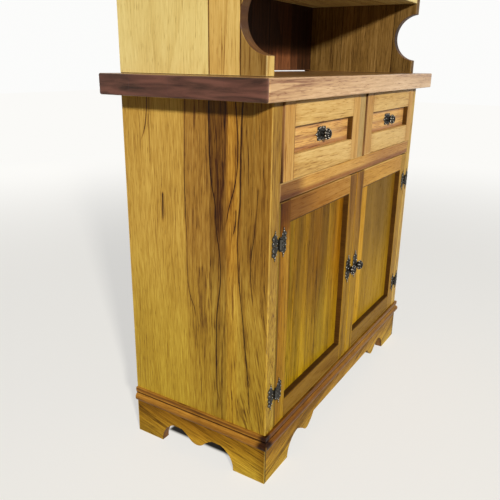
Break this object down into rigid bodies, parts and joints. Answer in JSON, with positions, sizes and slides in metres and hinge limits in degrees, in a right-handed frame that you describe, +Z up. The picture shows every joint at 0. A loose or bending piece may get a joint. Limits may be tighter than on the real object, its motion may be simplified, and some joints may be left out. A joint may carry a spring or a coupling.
{
  "type": "dresser with hutch",
  "caption": "Wooden dresser with an open shelf hutch over a worktop, two drawers, two hinged panelled doors and a scalloped bracket-foot plinth.",
  "frame": {"origin": "middle of the footprint on the floor", "axes": "+Z up, +X to the right seen from the front, the front faces -Y"},
  "size_m": [1.038, 0.407, 1.9],
  "materials": {
    "pale_wood": "satin",
    "veined_wood": "satin",
    "front_wood": "satin",
    "top_wood": "satin",
    "inner_wood": "matt",
    "back_boards": "satin",
    "dark_moulding": "satin",
    "antique_metal": "worn dark finish"
  },
  "bodies": {
    "cabinet": {"back_plinth_rail": "inner_wood", "base_back_panel": "inner_wood", "base_mouldings": "dark_moulding", "bottom_rail": "front_wood", "centre_muntin": "front_wood", "cornice_strips": "pale_wood", "cupboard_floor": "inner_wood", "cupboard_shelf": "inner_wood", "door_stop": "inner_wood", "drawer_deck": "inner_wood", "drawer_guides": "inner_wood", "drawer_kickers": "inner_wood", "front_plinth": "front_wood", "hinge_pins": "antique_metal", "hinge_post_leaves": "antique_metal", "hutch_back": "back_boards", "hutch_frieze": "pale_wood", "hutch_lower_shelf": "pale_wood", "hutch_top": "top_wood", "hutch_upper_shelf": "pale_wood", "left_front_post": "veined_wood", "left_hutch_side": "pale_wood", "left_plinth": "veined_wood", "left_side_panel": "veined_wood", "mid_rail": "front_wood", "plinth_glue_blocks": "inner_wood", "right_front_post": "veined_wood", "right_hutch_side": "pale_wood", "right_plinth": "veined_wood", "right_side_panel": "veined_wood", "shelf_cleats": "inner_wood", "worktop": "top_wood"},
    "left_door": {"left_door_hinge_leaves": "antique_metal", "left_door_hinge_stile": "front_wood", "left_door_knob": "antique_metal", "left_door_knob_plate": "antique_metal", "left_door_meeting_stile": "front_wood", "left_door_panel": "front_wood", "left_door_rails": "front_wood"},
    "left_drawer": {"left_drawer_back": "inner_wood", "left_drawer_bottom": "inner_wood", "left_drawer_front_frame": "front_wood", "left_drawer_front_panel": "front_wood", "left_drawer_knob": "antique_metal", "left_drawer_knob_plate": "antique_metal", "left_drawer_sides": "inner_wood"},
    "right_door": {"right_door_hinge_leaves": "antique_metal", "right_door_hinge_stile": "front_wood", "right_door_knob": "antique_metal", "right_door_knob_plate": "antique_metal", "right_door_meeting_stile": "front_wood", "right_door_panel": "front_wood", "right_door_rails": "front_wood"},
    "right_drawer": {"right_drawer_back": "inner_wood", "right_drawer_bottom": "inner_wood", "right_drawer_front_frame": "front_wood", "right_drawer_front_panel": "front_wood", "right_drawer_knob": "antique_metal", "right_drawer_knob_plate": "antique_metal", "right_drawer_sides": "inner_wood"}
  },
  "joints": [
    {"name": "left_door_hinge", "type": "hinge", "parent": "cabinet", "child": "left_door", "pos_m": [-0.41675, -0.1805, 0.396], "axis": [0, 0, -1], "range_deg": [0, 165]},
    {"name": "right_door_hinge", "type": "hinge", "parent": "cabinet", "child": "right_door", "pos_m": [0.41675, -0.1805, 0.396], "axis": [0, 0, 1], "range_deg": [0, 165]},
    {"name": "left_drawer_slide", "type": "slide", "parent": "cabinet", "child": "left_drawer", "axis": [0, -1, 0], "range_m": [0, 0.28]},
    {"name": "right_drawer_slide", "type": "slide", "parent": "cabinet", "child": "right_drawer", "axis": [0, -1, 0], "range_m": [0, 0.28]}
  ]
}
